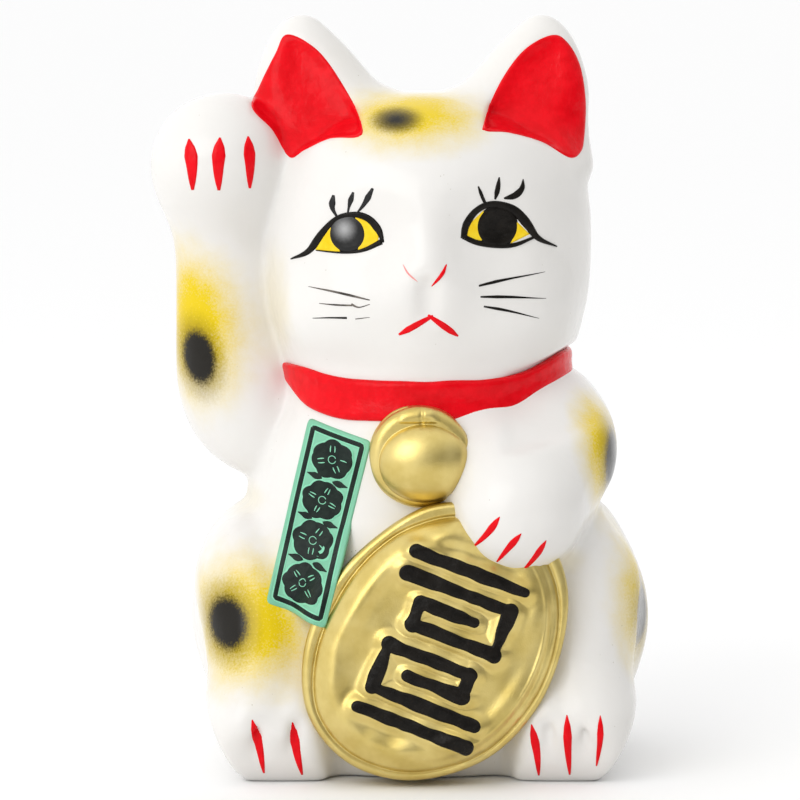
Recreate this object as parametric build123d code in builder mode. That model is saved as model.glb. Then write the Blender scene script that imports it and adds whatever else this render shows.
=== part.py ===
"""Beckoning cat figurine: a slip-cast, glazed earthenware coin bank 180 mm tall.

Frame: +Z up, -Y is the way the cat faces, origin at the middle of the ring that the base stands on.
The cat's own right arm (-X) is raised beside its head, and its left paw rests on an oval gold coin.
The casting is built from the pieces that are luted together with slip before firing: hollow torso and
head, ears, arms, hind feet, tail, collar, bell and coin.  A paper label is stuck on the glaze and a soft
stopper closes the drain hole in the base.
"""

from build123d import *

import os
from math import atan2, degrees

os.makedirs("parts", exist_ok=True)

# ---------------------------------------------------------------- driving dimensions, in millimetres
WALL = 4.0                      # thickness of the slip-cast wall
NECK_Z = 93.0                   # flat joint between torso and head
FAR = 150.0                     # past the whole figurine from its middle

# Torso ellipses, haunches included, from the base up: height, half width, half depth, middle in Y.
TORSO = [
    (0.0, 44.0, 41.0, 3.0),
    (6.0, 47.8, 44.0, 3.0),
    (18.0, 52.2, 46.2, 3.0),
    (30.0, 55.0, 46.4, 3.0),
    (40.0, 54.4, 45.8, 2.5),
    (50.0, 50.8, 43.8, 2.0),
    (58.0, 46.4, 41.6, 1.5),
    (65.0, 42.8, 39.8, 1.0),
    (73.0, 40.0, 38.0, 0.0),
    (82.0, 36.4, 35.5, -0.5),
    (NECK_Z, 29.0, 29.0, -1.0),
]

HEAD_X, HEAD_Y, HEAD_Z = 1.5, -1.0, 126.0   # middle of the widest level of the head
HEAD_HALF_WIDTH, HEAD_HALF_DEPTH = 40.0, 36.0
HEAD_UP, HEAD_DOWN = 35.5, 42.0  # from the widest level to the crown and to the hidden pole of the chin
HEAD_SQUARENESS = 2.6           # exponent of the profile; 2 is an ellipse
HEAD_LEVELS = 10
HEAD_CROWDING = 1.7             # how much closer the levels lie near the crown
POLE_SHARE = 0.9985             # the topmost ellipse stands this share of the way to the pole

# Ear ellipses: height, middle in X from EAR_X, half width, half depth, middle in Y.
EAR_X = 0.3
EAR = [
    (142.0, 22.0, 16.5, 13.0, 0.0),
    (152.0, 22.6, 18.0, 12.0, 0.0),
    (160.0, 23.6, 17.0, 10.5, 0.3),
    (166.0, 26.2, 13.7, 9.0, 0.6),
    (170.0, 27.3, 11.4, 7.8, 1.0),
    (174.0, 28.3, 8.7, 6.4, 1.3),
    (177.5, 28.9, 5.6, 4.6, 1.5),
    (180.0, 29.0, 1.8, 1.8, 1.5),
]

# Raised arm ellipses, elbow to paw: height, middle in X, middle in Y, half width, half depth.
RAISED_ARM = [
    (68.0, -33.0, 1.0, 8.5, 9.0),
    (73.0, -36.5, 1.0, 14.0, 13.5),
    (80.0, -40.0, 1.0, 16.0, 15.5),
    (90.0, -42.8, 0.5, 16.2, 15.5),
    (102.0, -45.6, 0.0, 13.8, 13.8),
    (114.0, -46.6, -0.5, 12.7, 12.8),
    (125.0, -47.2, -2.0, 12.5, 12.6),
    (134.0, -47.8, -5.5, 14.8, 15.0),
    (143.0, -48.4, -8.0, 16.5, 17.0),
    (151.0, -48.2, -8.0, 15.3, 16.0),
    (157.0, -47.8, -7.0, 11.5, 12.2),
    (160.4, -47.4, -6.0, 6.0, 6.4),
    (161.4, -47.2, -5.5, 2.0, 2.0),
]

# Resting arm circles, shoulder to fingertips: centre and radius.
RESTING_ARM = [
    ((24.0, 4.0, 92.0), 9.0),
    ((28.5, 0.0, 84.5), 15.5),
    ((30.5, -9.0, 77.0), 17.0),
    ((29.5, -19.0, 71.5), 16.0),
    ((26.5, -28.0, 67.0), 14.4),
    ((24.0, -36.0, 64.4), 12.8),
    ((22.4, -42.4, 63.0), 10.8),
    ((21.4, -47.4, 61.6), 6.4),
    ((20.8, -50.0, 60.8), 2.4),
]

FOOT_X, FOOT_Y = 35.4, -31.5    # middle of each hind foot
FOOT_WIDTH, FOOT_LENGTH, FOOT_HEIGHT = 26.0, 33.0, 20.0
FOOT_CORNER, FOOT_TOP_ROUND, FOOT_SOLE_ROUND = 9.0, 8.0, 2.0

TAIL_RADIUS = 7.5               # the tail is a short stub curled on the cat's back
TAIL_PATH = [(-2.0, 46.0, 14.0), (12.0, 46.5, 16.0), (22.0, 41.5, 26.0)]

COLLAR_Z, COLLAR_LEAN = 94.5, 9.0   # height of its middle; degrees that its front hangs down
COLLAR_HEIGHT, COLLAR_ROUND = 9.0, 2.2
COLLAR_HALF_WIDTH, COLLAR_HALF_DEPTH = 35.4, 35.0

BELL_X, BELL_Z = 0.0, 77.6
BELL_RIM_RADIUS, BELL_DOME_RADIUS = 12.2, 9.6
BELL_BULGE = 0.75               # share of the dome's radius that it still has half way up
BELL_FRONT, BELL_SHOULDER, BELL_BACK = -47.0, -41.5, -30.0

COIN_CENTRE = (3.2, -47.0, 34.8)
COIN_LEAN = 6.0                 # degrees that its top leans back
COIN_BACK, COIN_ROUND = 14.0, 1.5   # how far its blank runs back into the belly
FIELD_SHARE, FIELD_STEP, FIELD_ROUND = 0.885, 2.6, 1.6   # the raised field is this share of the outline
# The coin's outline seen face on, from its top round by the cat's right.
COIN_OUTLINE = [
    (-1.0, 31.6), (-14.5, 23.6), (-25.0, 12.0), (-30.8, -3.0), (-29.6, -18.0), (-20.0, -28.6),
    (-5.0, -31.9), (12.0, -27.6), (23.8, -16.6), (30.0, -2.0), (31.2, 13.0), (25.5, 25.0), (13.0, 31.5),
]

# Relief on the coin: a generic key fret, in its own upright frame before it is tilted.
MOTIF_CENTRE, MOTIF_TILT = (1.5, -2.0), -21.0
MOTIF_HEIGHT, BAR = 1.3, 3.0
MOTIF_HALF_WIDTH, MOTIF_TOP, MOTIF_PITCH = 13.6, 19.4, 5.4
# How far each turn of the spiral reaches, as shares of the half width.
OUTER_TURN, INNER_TURN, LAST_TURN = 0.88, 0.62, 0.37

LABEL_CORNERS = [(-28.6, 84.8), (-12.8, 80.2), (-23.4, 37.4), (-36.6, 41.6)]  # X and Z
LABEL_THICKNESS = 0.5

FLOOR_RECESS, FLOOR_THICKNESS = 3.2, 5.0
STAND_HALF_WIDTH, STAND_HALF_DEPTH = 33.0, 31.0   # inside edge of the ring that it stands on
HOLE_RADIUS, HOLE_Y = 14.0, 3.0
PLUG_CLEARANCE, SEAT_CLEARANCE = 0.15, 0.2
PLUG_DEPTH, PLUG_TAPER = 9.0, 0.8
FLANGE_RADIUS, FLANGE_THICKNESS = 18.0, 1.6
GRIP_RADIUS, GRIP_DEPTH, GRIP_BAR = 9.0, 7.0, 3.0

SLOT_Z, SLOT_LENGTH, SLOT_HEIGHT = 121.0, 34.0, 3.6


# ---------------------------------------------------------------- forms shared by several pieces
def torso_form(grow, low):
    """The torso with its haunches, grown outwards by grow, from a height up to the neck."""
    with BuildPart() as form:
        for z, half_width, half_depth, y in TORSO:
            with BuildSketch(Plane.XY.offset(z)):
                with Locations((0, y)):
                    Ellipse(half_width + grow, half_depth + grow)
        loft()
        split(bisect_by=Plane.XY.offset(low), keep=Keep.TOP)
    return form.part


def head_form(grow):
    """The head without its ears: ellipses whose size follows a squared-off profile."""
    height = HEAD_Z + HEAD_UP + grow - NECK_Z
    with BuildPart() as form:
        for i in range(HEAD_LEVELS + 1):
            z = NECK_Z + height * (1 - (1 - i / HEAD_LEVELS) ** HEAD_CROWDING)
            reach = HEAD_UP + grow if z > HEAD_Z else HEAD_DOWN
            share = min(abs(z - HEAD_Z) / reach, POLE_SHARE)
            size = (1 - share**HEAD_SQUARENESS) ** (1 / HEAD_SQUARENESS)
            with BuildSketch(Plane.XY.offset(z)):
                with Locations((HEAD_X, HEAD_Y)):
                    Ellipse((HEAD_HALF_WIDTH + grow) * size, (HEAD_HALF_DEPTH + grow) * size)
        loft()
    return form.part


def ear(side):
    """One ear, cut to sit on the head."""
    with BuildPart() as piece:
        for z, x, half_width, half_depth, y in EAR:
            with BuildSketch(Plane.XY.offset(z)):
                with Locations((EAR_X + side * x, y)):
                    Ellipse(half_width, half_depth)
        loft()
        add(head_outer, mode=Mode.SUBTRACT)
    return piece.part


def coin_plane(forward):
    """The coin's plane: X to the cat's left, Y up its face, Z out of it."""
    face = Plane(origin=COIN_CENTRE, x_dir=(1, 0, 0), z_dir=Vector(0, -1, 0).rotate(Axis.X, -COIN_LEAN))
    return face.offset(forward)


torso_outer = torso_form(0, 0)
torso_inner = torso_form(-WALL, FLOOR_RECESS + FLOOR_THICKNESS)
head_outer = head_form(0)
head_inner = head_form(-WALL)

with BuildPart() as raised_arm_form:
    for z, x, y, half_width, half_depth in RAISED_ARM:
        with BuildSketch(Plane.XY.offset(z)):
            with Locations((x, y)):
                Ellipse(half_width, half_depth)
    loft()

with BuildPart() as resting_arm_form:
    stations = [Vector(*centre) for centre, _ in RESTING_ARM]
    for i, (centre, radius) in enumerate(RESTING_ARM):
        heading = stations[min(i + 1, len(stations) - 1)] - stations[max(i - 1, 0)]
        across = heading.cross(Vector(0, 0, 1))
        with BuildSketch(Plane(origin=centre, x_dir=across, z_dir=heading)):
            Circle(radius)
    loft()

neck = Plane(origin=(HEAD_X, HEAD_Y, COLLAR_Z), z_dir=Vector(0, 0, 1).rotate(Axis.X, COLLAR_LEAN))
with BuildPart() as collar_band:
    with BuildSketch(neck.offset(-COLLAR_HEIGHT / 2)):
        Ellipse(COLLAR_HALF_WIDTH, COLLAR_HALF_DEPTH)
    extrude(amount=COLLAR_HEIGHT)
    fillet(collar_band.edges(), COLLAR_ROUND)

coin_axis = Axis(COIN_CENTRE, coin_plane(0).z_dir)
with BuildPart() as coin_blank:
    for share, depth, round_off in ((1, -COIN_BACK, COIN_ROUND), (FIELD_SHARE, FIELD_STEP, FIELD_ROUND)):
        with BuildSketch(coin_plane(0)):
            with BuildLine():
                Spline([(u * share, v * share) for u, v in COIN_OUTLINE], periodic=True)
            make_face()
        extrude(amount=depth)
        fillet(coin_blank.faces().sort_by(coin_axis)[-1].edges(), round_off)


# ---------------------------------------------------------------- hollow torso and head
with BuildPart() as torso_shell:
    add(torso_outer)
    add(torso_inner, mode=Mode.SUBTRACT)
    with BuildSketch(Plane.XY):
        with Locations((0, HOLE_Y)):
            Ellipse(STAND_HALF_WIDTH, STAND_HALF_DEPTH)
    extrude(amount=FLOOR_RECESS, mode=Mode.SUBTRACT)
    with BuildSketch(Plane.XY):
        with Locations((0, HOLE_Y)):
            Circle(HOLE_RADIUS)
    extrude(amount=FLOOR_RECESS + FLOOR_THICKNESS, mode=Mode.SUBTRACT)

with BuildPart() as head_shell:
    add(head_outer)
    add(head_inner, mode=Mode.SUBTRACT)
    with BuildSketch(Plane.XZ.offset(-HEAD_HALF_DEPTH - WALL)):
        with Locations((HEAD_X, SLOT_Z)):
            SlotOverall(SLOT_LENGTH, SLOT_HEIGHT)
    extrude(amount=HEAD_HALF_DEPTH, mode=Mode.SUBTRACT)


# ---------------------------------------------------------------- pieces luted on
def foot(side):
    """One hind foot, cut to sit against the torso and behind the coin."""
    with BuildPart() as piece:
        with BuildSketch(Plane.XY):
            with Locations((side * FOOT_X, FOOT_Y)):
                RectangleRounded(FOOT_WIDTH, FOOT_LENGTH, FOOT_CORNER)
        extrude(amount=FOOT_HEIGHT)
        fillet(piece.edges().group_by(Axis.Z)[-1], FOOT_TOP_ROUND)
        fillet(piece.edges().group_by(Axis.Z)[0], FOOT_SOLE_ROUND)
        add(torso_outer, mode=Mode.SUBTRACT)
        add(coin_blank.part, mode=Mode.SUBTRACT)
    return piece.part


right_ear, left_ear = ear(-1), ear(1)

with BuildPart() as raised_arm:
    add(raised_arm_form.part)
    for neighbour in (torso_outer, head_outer, right_ear):
        add(neighbour, mode=Mode.SUBTRACT)

with BuildPart() as resting_arm:
    add(resting_arm_form.part)
    for neighbour in (torso_outer, head_outer, collar_band.part):
        add(neighbour, mode=Mode.SUBTRACT)

with BuildPart() as tail:
    with BuildLine() as curl:
        ThreePointArc(*TAIL_PATH)
    with BuildSketch(Plane(origin=curl.line @ 0, z_dir=curl.line % 0)):
        Circle(TAIL_RADIUS)
    sweep(path=curl.line)
    with Locations(TAIL_PATH[0], TAIL_PATH[-1]):
        Sphere(TAIL_RADIUS)
    add(torso_outer, mode=Mode.SUBTRACT)

with BuildPart() as collar:
    add(collar_band.part)
    for neighbour in (torso_outer, head_outer, raised_arm_form.part):
        add(neighbour, mode=Mode.SUBTRACT)

with BuildPart() as koban:
    add(coin_blank.part)
    for neighbour in (torso_outer, resting_arm_form.part):
        add(neighbour, mode=Mode.SUBTRACT)

with BuildPart() as bell:
    with BuildSketch(Plane.XY.offset(BELL_Z)):
        with BuildLine():
            rim_side = BELL_X + BELL_RIM_RADIUS
            middle = (BELL_SHOULDER + BELL_FRONT) / 2
            dome = ThreePointArc(
                (BELL_X, BELL_FRONT),
                (BELL_X + BELL_DOME_RADIUS * BELL_BULGE, middle),
                (BELL_X + BELL_DOME_RADIUS, BELL_SHOULDER),
            )
            Polyline(dome @ 1, (rim_side, BELL_SHOULDER), (rim_side, BELL_BACK), (BELL_X, BELL_BACK), dome @ 0)
        make_face()
    revolve(axis=Axis((BELL_X, 0, BELL_Z), (0, 1, 0)))
    for neighbour in (torso_outer, collar_band.part, coin_blank.part, resting_arm_form.part):
        add(neighbour, mode=Mode.SUBTRACT)


# ---------------------------------------------------------------- relief strokes on the coin
def fret(top, turn):
    """One squared spiral of three rows below a long bar; turn of -1 is it upside down."""
    wide, pitch = MOTIF_HALF_WIDTH * turn, MOTIF_PITCH * turn
    outer, inner, last = wide * OUTER_TURN, wide * INNER_TURN, wide * LAST_TURN
    bar = [(-wide, top), (wide, top)]
    spiral = [
        (-wide, top - pitch),
        (outer, top - pitch),
        (outer, top - 3 * pitch),
        (-inner, top - 3 * pitch),
        (-inner, top - 2 * pitch),
        (last, top - 2 * pitch),
    ]
    return [bar, spiral]


def tilted(point):
    """A point of the upright ornament, turned and moved to its place on the coin."""
    return Vector(*point).rotate(Axis.Z, MOTIF_TILT) + Vector(*MOTIF_CENTRE)


with BuildPart() as koban_motif:
    with BuildSketch(coin_plane(FIELD_STEP)):
        for path in fret(MOTIF_TOP, 1) + fret(-MOTIF_TOP, -1):
            for first, last in zip(path, path[1:]):
                start, end = tilted(first), tilted(last)
                along = end - start
                angle = degrees(atan2(along.Y, along.X))
                with Locations(Location((start + end) / 2, (0, 0, angle))):
                    SlotCenterToCenter(along.length, BAR)
    extrude(amount=MOTIF_HEIGHT)
    add(resting_arm_form.part, mode=Mode.SUBTRACT)


# ---------------------------------------------------------------- label and stopper
label_skin = torso_form(LABEL_THICKNESS, 0)
with BuildPart() as label:
    with BuildSketch(Plane.XZ):
        with BuildLine():
            Polyline(*LABEL_CORNERS, close=True)
        make_face()
    extrude(amount=FAR)
    add(label_skin, mode=Mode.INTERSECT)
    for neighbour in (torso_outer, coin_blank.part, raised_arm_form.part, collar_band.part):
        add(neighbour, mode=Mode.SUBTRACT)

with BuildPart() as stopper:
    seat = FLOOR_RECESS - SEAT_CLEARANCE
    plug_radius = HOLE_RADIUS - PLUG_CLEARANCE
    with BuildSketch(Plane.XY.offset(seat - FLANGE_THICKNESS)):
        with Locations((0, HOLE_Y)):
            Circle(FLANGE_RADIUS)
    extrude(amount=FLANGE_THICKNESS)
    with BuildSketch(Plane.XY.offset(seat)):
        with Locations((0, HOLE_Y)):
            Circle(plug_radius)
    with BuildSketch(Plane.XY.offset(seat + PLUG_DEPTH)):
        with Locations((0, HOLE_Y)):
            Circle(plug_radius - PLUG_TAPER)
    loft()
    with BuildSketch(Plane.XY.offset(seat - FLANGE_THICKNESS)):
        with Locations((0, HOLE_Y)):
            Circle(GRIP_RADIUS)
            Rectangle(2 * GRIP_RADIUS, GRIP_BAR, mode=Mode.SUBTRACT)
    extrude(amount=GRIP_DEPTH, mode=Mode.SUBTRACT)


# ---------------------------------------------------------------- one file for each piece
pieces = {
    "torso_shell": torso_shell.part,
    "head_shell": head_shell.part,
    "right_ear": right_ear,
    "left_ear": left_ear,
    "raised_arm": raised_arm.part,
    "resting_arm": resting_arm.part,
    "right_foot": foot(-1),
    "left_foot": foot(1),
    "tail": tail.part,
    "collar": collar.part,
    "bell": bell.part,
    "koban": koban.part,
    "koban_motif": koban_motif.part,
    "label": label.part,
    "stopper": stopper.part,
}
for name, piece in pieces.items():
    piece.label = name
    export_step(piece, f"parts/{name}.step")
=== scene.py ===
"""Looks of the beckoning cat figurine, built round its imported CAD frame.

Lengths are millimetres until a mesh is made.  X is the cat's left, -Y the way it faces, Z up.
The white body is one glazed skin: the CAD pieces become distance fields on a grid, which are blended,
modelled in soft relief and meshed.  The collar, bell, coin, label and painted marks are pieces laid on it.
"""

import math

import bpy
import numpy as np
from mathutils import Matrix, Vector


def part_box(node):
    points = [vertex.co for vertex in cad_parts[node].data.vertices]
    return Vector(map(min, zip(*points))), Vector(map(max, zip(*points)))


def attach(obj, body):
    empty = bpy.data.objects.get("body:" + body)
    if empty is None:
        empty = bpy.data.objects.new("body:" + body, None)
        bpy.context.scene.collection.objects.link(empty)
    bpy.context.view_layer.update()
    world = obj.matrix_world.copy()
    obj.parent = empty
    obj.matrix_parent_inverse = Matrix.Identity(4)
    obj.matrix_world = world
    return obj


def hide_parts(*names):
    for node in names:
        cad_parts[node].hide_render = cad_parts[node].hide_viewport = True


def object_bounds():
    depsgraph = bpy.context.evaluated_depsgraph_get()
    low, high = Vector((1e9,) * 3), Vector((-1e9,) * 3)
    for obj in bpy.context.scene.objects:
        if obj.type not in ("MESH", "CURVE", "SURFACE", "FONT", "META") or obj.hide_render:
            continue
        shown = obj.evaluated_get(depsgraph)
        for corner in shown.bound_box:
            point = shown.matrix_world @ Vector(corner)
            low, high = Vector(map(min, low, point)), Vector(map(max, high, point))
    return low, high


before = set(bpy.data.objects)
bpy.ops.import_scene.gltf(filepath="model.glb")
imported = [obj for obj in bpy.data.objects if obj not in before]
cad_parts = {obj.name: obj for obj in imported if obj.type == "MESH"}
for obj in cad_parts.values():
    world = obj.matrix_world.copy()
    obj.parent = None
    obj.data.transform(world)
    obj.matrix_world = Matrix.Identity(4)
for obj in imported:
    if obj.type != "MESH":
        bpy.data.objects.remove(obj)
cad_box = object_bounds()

import openvdb
from mathutils import Vector

MM = 0.001
CASTING = "casting"             # the body that every piece but the stopper rides on

# ---- places taken from the frame


def node_box(name):
    """Lowest and highest corner of a CAD node, in millimetres."""
    return [np.array(corner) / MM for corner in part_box(name)]


head_low, head_high = node_box("head_shell")
HEAD_X = (head_low[0] + head_high[0]) / 2
FACE_Y = head_low[1]            # the frontmost level of the bare head
NECK_Z = head_low[2]

# ---- distance fields on a grid
VOXEL = 0.8
REACH = 9.0                     # the fields are true distances up to this far from a surface
MARGIN = 5.0
FAR = 99.0                      # more than any distance that matters

grid_first = np.floor((np.array(cad_box[0]) / MM - MARGIN) / VOXEL).astype(int)
grid_last = np.ceil((np.array(cad_box[1]) / MM + MARGIN) / VOXEL).astype(int)
grid_shape = grid_last - grid_first + 1
axis_points = [(grid_first[k] + np.arange(grid_shape[k])) * VOXEL for k in range(3)]
grid_corner = tuple(int(i) for i in grid_first)
scaling = openvdb.createLinearTransform(VOXEL)
RAY_STEP = VOXEL / 2            # spacing of the samples along a ray


def distance_to(points, triangles, quads=None):
    """Signed distance to a closed surface at every grid point; negative inside it."""
    grid = openvdb.FloatGrid.createLevelSetFromPolygons(
        points, triangles=triangles, quads=quads, transform=scaling, halfWidth=REACH / VOXEL
    )
    dense = np.empty(grid_shape, np.float32)
    grid.copyToArray(dense, ijk=grid_corner)
    return dense


def node_field(name):
    """Signed distance to the surface of one CAD node."""
    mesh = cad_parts[name].data
    points = np.empty(3 * len(mesh.vertices), np.float32)
    mesh.vertices.foreach_get("co", points)
    mesh.calc_loop_triangles()
    triangles = np.empty(3 * len(mesh.loop_triangles), np.int32)
    mesh.loop_triangles.foreach_get("vertices", triangles)
    return distance_to(points.reshape(-1, 3) / MM, triangles.reshape(-1, 3).astype(np.uint32))


def surface_of(field, adaptivity=0.0):
    """The field's zero surface: its points, triangles and quads."""
    grid = openvdb.FloatGrid(REACH)
    grid.copyFromArray(field.astype(np.float32), ijk=grid_corner)
    grid.transform = scaling
    return grid.convertToPolygons(isovalue=0, adaptivity=adaptivity)


def true_distance(field):
    """The same surface with true distances on both sides of it."""
    return distance_to(*surface_of(field))


def soft_min(a, b, blend):
    """The lower of two fields, rounded off over the blend length where they are close."""
    near = np.clip(0.5 + 0.5 * (b - a) / blend, 0, 1)
    return b * (1 - near) + a * near - blend * near * (1 - near)


def soft_max(a, b, blend):
    return -soft_min(-a, -b, blend)


def smooth(share):
    """0 below 0, 1 above 1, smooth between."""
    share = np.clip(share, 0, 1)
    return share * share * (3 - 2 * share)


def hump(value, middle, width, power=2):
    """1 where the value is at the middle, falling to nothing either side of it."""
    return np.exp(-(((value - middle) / width) ** power))


def rounded(depth, radius):
    """Profile of a rounded edge: 0 at the edge, 1 from one radius inside it."""
    return np.sqrt(np.clip(1 - (1 - np.clip(depth / radius, 0, 1)) ** 2, 0, 1))


def window(low, high):
    """The part of the grid between two corners: its slices, and its coordinates."""
    start = np.clip(np.floor(np.array(low) / VOXEL).astype(int) - grid_first, 0, grid_shape - 1)
    stop = np.clip(np.ceil(np.array(high) / VOXEL).astype(int) - grid_first + 1, 1, grid_shape)
    cut = tuple(slice(a, b) for a, b in zip(start, stop))
    spans = [axis_points[k][cut[k]] for k in range(3)]
    return cut, np.meshgrid(*spans, indexing="ij", sparse=True)


def ball_distance(x, y, z, centre, radii):
    """Distance to an ellipsoid, near enough."""
    dx, dy, dz = x - centre[0], y - centre[1], z - centre[2]
    unit = np.sqrt((dx / radii[0]) ** 2 + (dy / radii[1]) ** 2 + (dz / radii[2]) ** 2) + 1e-6
    slope = np.sqrt((dx / radii[0] ** 2) ** 2 + (dy / radii[1] ** 2) ** 2 + (dz / radii[2] ** 2) ** 2)
    return unit * (unit - 1) / (slope + 1e-6)


def add_ball(field, centre, radii, blend, sign=1):
    """Adds an ellipsoid, or with sign -1 cuts it away."""
    reach = max(radii) + blend
    cut, (x, y, z) = window(np.array(centre) - reach, np.array(centre) + reach)
    field[cut] = sign * soft_min(sign * field[cut], ball_distance(x, y, z, centre, radii), blend)


def add_rod(field, start, end, start_radius, end_radius, blend, sign=1):
    """Adds a tapered rod with round ends, or with sign -1 cuts it away."""
    reach = max(start_radius, end_radius) + blend
    cut, place = window(np.minimum(start, end) - reach, np.maximum(start, end) + reach)
    start, end = np.array(start, float), np.array(end, float)
    axis = end - start
    off = [place[k] - start[k] for k in range(3)]
    along = np.clip((off[0] * axis[0] + off[1] * axis[1] + off[2] * axis[2]) / (axis @ axis), 0, 1)
    off = [off[k] - along * axis[k] for k in range(3)]
    away = np.sqrt(off[0] ** 2 + off[1] ** 2 + off[2] ** 2)
    rod = away - start_radius - along * (end_radius - start_radius)
    field[cut] = sign * soft_min(sign * field[cut], rod, blend)


def soften(field, times):
    """Each point becomes a weighted mean of itself and its neighbours."""
    for _ in range(times):
        for k in range(3):
            padded = np.concatenate([field.take([0], k), field, field.take([-1], k)], k)
            count = field.shape[k]
            before, after = padded.take(range(count), k), padded.take(range(2, count + 2), k)
            field = 0.5 * field + 0.25 * (before + after)
    return field


def sample(field, points):
    """The field's value at any points, by linear blending of the eight grid points round each."""
    place = points / VOXEL - grid_first
    base = np.clip(np.floor(place).astype(int), 0, grid_shape - 2)
    part = np.clip(place - base, 0, 1)
    total = 0
    for corner in np.ndindex(2, 2, 2):
        weight = np.prod(np.where(corner, part, 1 - part), axis=-1)
        i, j, k = (base[..., n] + corner[n] for n in range(3))
        total = total + weight * field[i, j, k]
    return total


def outward(field, points, step=VOXEL):
    """Unit outward normals of the field at any points."""
    slope = [sample(field, points + offset) - sample(field, points - offset) for offset in np.eye(3) * step]
    slope = np.stack(slope, -1)
    return slope / (np.linalg.norm(slope, axis=-1, keepdims=True) + 1e-9)


def first_hit(field, rays):
    """Along each ray of sample points, the first one inside, and how far before it the surface lies."""
    values = sample(field, rays)
    hit = np.argmax(values < 0, axis=-1)
    hit = np.where((values < 0).any(axis=-1), hit, np.argmin(values, axis=-1))
    hit = np.clip(hit, 1, values.shape[-1] - 1)
    after = np.take_along_axis(values, hit[..., None], -1)[..., 0]
    before = np.take_along_axis(values, hit[..., None] - 1, -1)[..., 0]
    return hit, np.clip(before / (before - after + 1e-9), 0, 1)


# ---- outlines
def full_turn(count):
    """Evenly spaced directions all the way round."""
    return np.linspace(0, 2 * np.pi, count, endpoint=False)


def oval(turn, half_width, half_height):
    """Points in the given directions on an oval round the origin."""
    return np.stack([half_width * np.cos(turn), half_height * np.sin(turn)], -1)


def polygon(points, steps):
    """Straight sides through the points and back to the first, each in a few steps."""
    ends = zip(np.array(points), np.roll(points, -1, axis=0))
    return np.concatenate([np.linspace(start, end, steps, endpoint=False) for start, end in ends])


def curve(points, closed=False, steps=8):
    """A smooth line through the points."""
    points = np.array(points, float)
    count = len(points)
    made = []
    for i in range(count if closed else count - 1):
        p1, p2 = points[i], points[(i + 1) % count]
        p0 = points[i - 1] if closed or i > 0 else 2 * p1 - p2
        p3 = points[(i + 2) % count] if closed or i + 2 < count else 2 * p2 - p1
        t = np.linspace(0, 1, steps, endpoint=False)[:, None]
        made.append(
            0.5 * (2 * p1 + (p2 - p0) * t + (2 * p0 - 5 * p1 + 4 * p2 - p3) * t**2
                   + (3 * p1 - p0 - 3 * p2 + p3) * t**3)
        )
    if not closed:
        made.append(points[-1:])
    return np.concatenate(made)


# ---- the modelled body
LEAST_WALL = 1.4                # relief is never cut nearer than this to the hollow inside
RECESS = 3.2                    # height of the ring the figurine stands on
SLOT = (17.0, 1.8, 121.0)       # half length, half height and level of the coin slot in the back
SLOT_START = 25.0               # the slot is cut from this far back, through the back of the head
DRAIN = (14.0, 3.0, 8.2)        # radius and Y of the hole in the base, and the top of its floor
# The nodes joined to torso and head, each with how far the joint is rounded.
LIMBS = (
    ("right_ear", 5.0), ("left_ear", 5.0), ("resting_arm", 6.0), ("raised_arm", 2.5),
    ("right_foot", 7.0), ("left_foot", 7.0), ("tail", 4.0),
)
FLOOR_EDGE = 0.6                # roundness of the edge that stands on the floor
NECK_RADIUS, NECK_Y = 33.4, -1.0
NECK_OUTSIDE, NECK_INSIDE = 44.0, 24.0  # the neck's surface is looked for between these radii
COLLAR_MIDDLE = 89.9            # level of the collar's middle line at the front
INK_DEPTH = 0.22                # how far a painted mark stands out


def between_walls(solid, axis):
    """Points with solid on both sides of them along an axis."""
    before = np.maximum.accumulate(solid, axis)
    after = np.flip(np.maximum.accumulate(np.flip(solid, axis), axis), axis)
    return before & after


def filled(name):
    """A hollow CAD shell as a solid, and which points are inside that solid."""
    field = node_field(name)
    wall = field < 0
    level = axis_points[2] > RECESS + VOXEL / 2
    inside = wall | between_walls(wall, 2)
    inside |= (between_walls(wall, 0) | between_walls(wall, 1)) & level
    return true_distance(np.where(inside & ~wall, -field - 1, field)), inside, field


def build_body():
    """The whole white casting as one field, hollow and with its slot and drain."""
    torso, torso_inside, torso_wall = filled("torso_shell")
    head, head_inside, head_wall = filled("head_shell")
    hollow = np.where(torso_inside | head_inside, np.minimum(torso_wall, head_wall), -REACH)
    hollow = -true_distance(-hollow)
    field = soft_min(torso, head, 3.0)
    model_face(field)
    model_neck(field)
    narrow_neck(field)
    trunk = soften(field, 2)
    for name, blend in LIMBS:
        field = soft_min(field, node_field(name), blend)
    add_ball(field, (-40.0, -3.0, 45.0), (13.0, 28.0, 15.5), 3.0)              # right flank
    add_ball(field, (21.5, -42.5, 64.0), (12.5, 10.5, 12.8), 6.0)              # resting paw
    add_rod(field, (33.0, -23.0, 79.0), (25.0, -37.5, 65.0), 10.5, 12.0, 8.0)  # resting forearm
    add_ball(field, (17.0, -33.0, 74.0), (12.0, 9.0, 10.0), 10.0)              # chest beside the arm
    narrow_neck(field)
    for side in (-1, 1):
        model_ear(field, side)
        model_haunch(field, side)
        model_toes(field, side)
    trim_foot(field)
    x, y, z = np.meshgrid(*axis_points, indexing="ij", sparse=True)
    field = soft_max(soften(field, 2), -z, FLOOR_EDGE)
    field = np.minimum(field, -hollow - LEAST_WALL)
    slot = np.minimum(SLOT[0] - np.abs(x - HEAD_X), SLOT[1] - np.abs(z - SLOT[2]))
    drain = np.minimum(DRAIN[0] - np.sqrt(x**2 + (y - DRAIN[1]) ** 2), DRAIN[2] - z)
    hollow = np.maximum(hollow, np.minimum(slot, y - SLOT_START))
    hollow = np.maximum(hollow, drain)
    return np.maximum(field, hollow), trunk


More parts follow.
